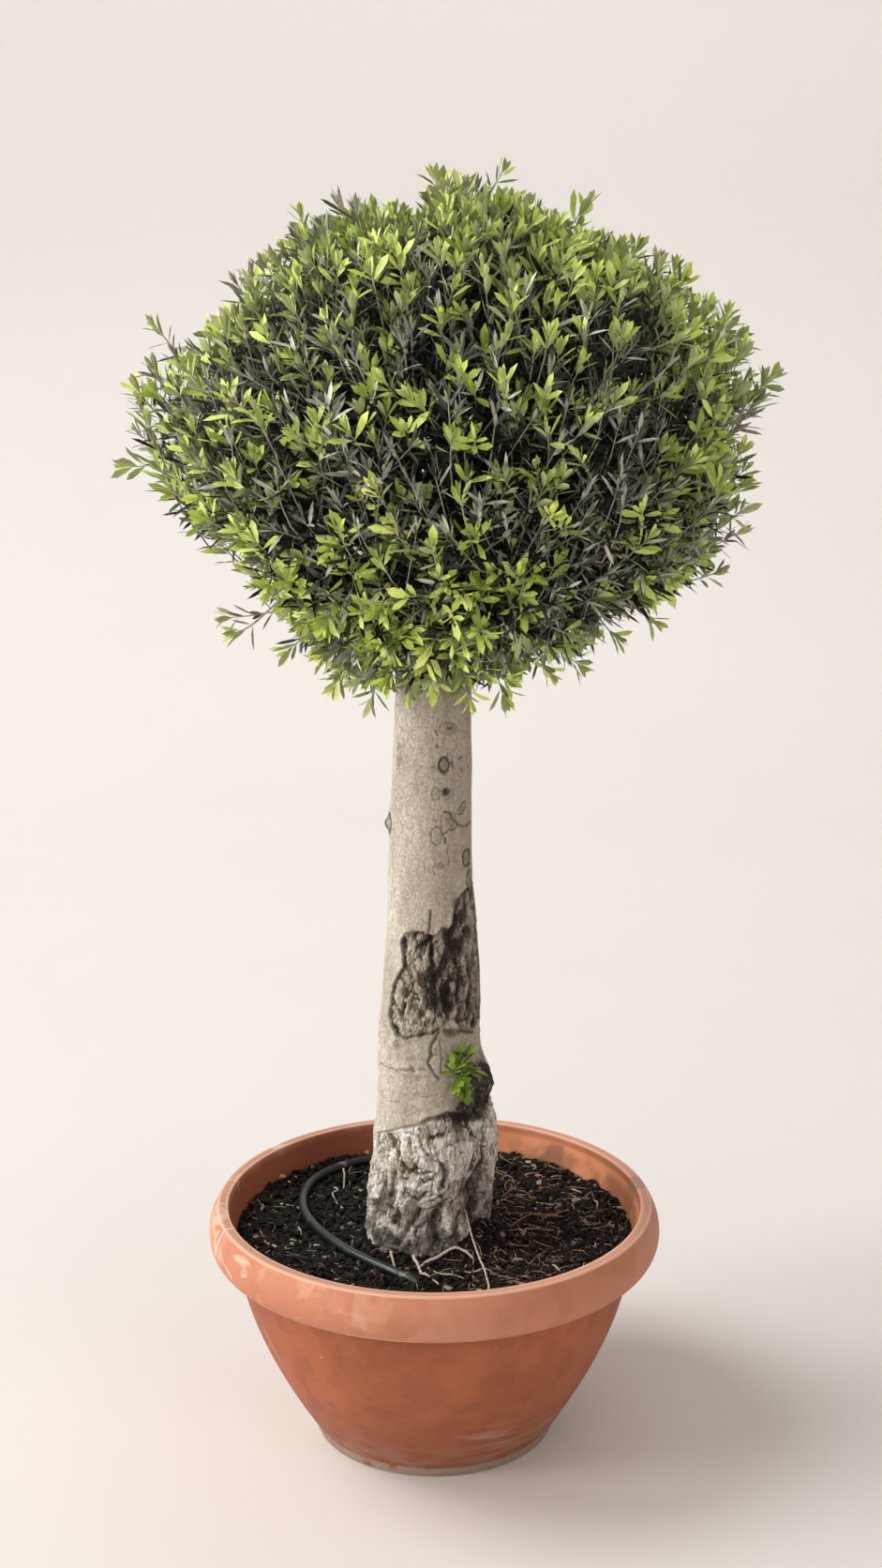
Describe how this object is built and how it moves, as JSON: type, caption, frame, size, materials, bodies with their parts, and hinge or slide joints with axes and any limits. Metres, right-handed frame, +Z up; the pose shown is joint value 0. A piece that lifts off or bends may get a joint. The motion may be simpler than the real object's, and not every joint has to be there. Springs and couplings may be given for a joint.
{
  "type": "standard lollipop topiary in a pot",
  "caption": "Clipped ball-headed olive standard on a straight clear trunk, in a wide round terracotta-coloured bowl of soil with a short watering hose on it.",
  "frame": {"origin": "middle of the pot's flat underside, at floor level", "axes": "+Z up along the trunk; -Y towards the front, where the young sprout and the hose's end are; +X to the right seen from the front"},
  "size_m": [0.8484, 0.7482, 1.6715],
  "materials": {
    "pot": "matte terracotta-coloured plastic, lighter on the rim",
    "soil": "damp dark bark compost",
    "hose": "dull dark green-black polythene",
    "bark": "pale grey-cream bark, rough and fissured at the foot",
    "foliage": "leathery grey-green leaves with bright young tips",
    "new_leaves": "soft bright green leaves"
  },
  "bodies": {
    "root": {"pot": "pot", "soil": "soil", "hose": "hose", "trunk": "bark", "trunk_sprout": "new_leaves", "crown_left": "foliage", "crown_right": "foliage", "crown_front": "foliage", "crown_back": "foliage", "crown_top_left": "foliage", "crown_top_right": "foliage"}
  },
  "joints": []
}
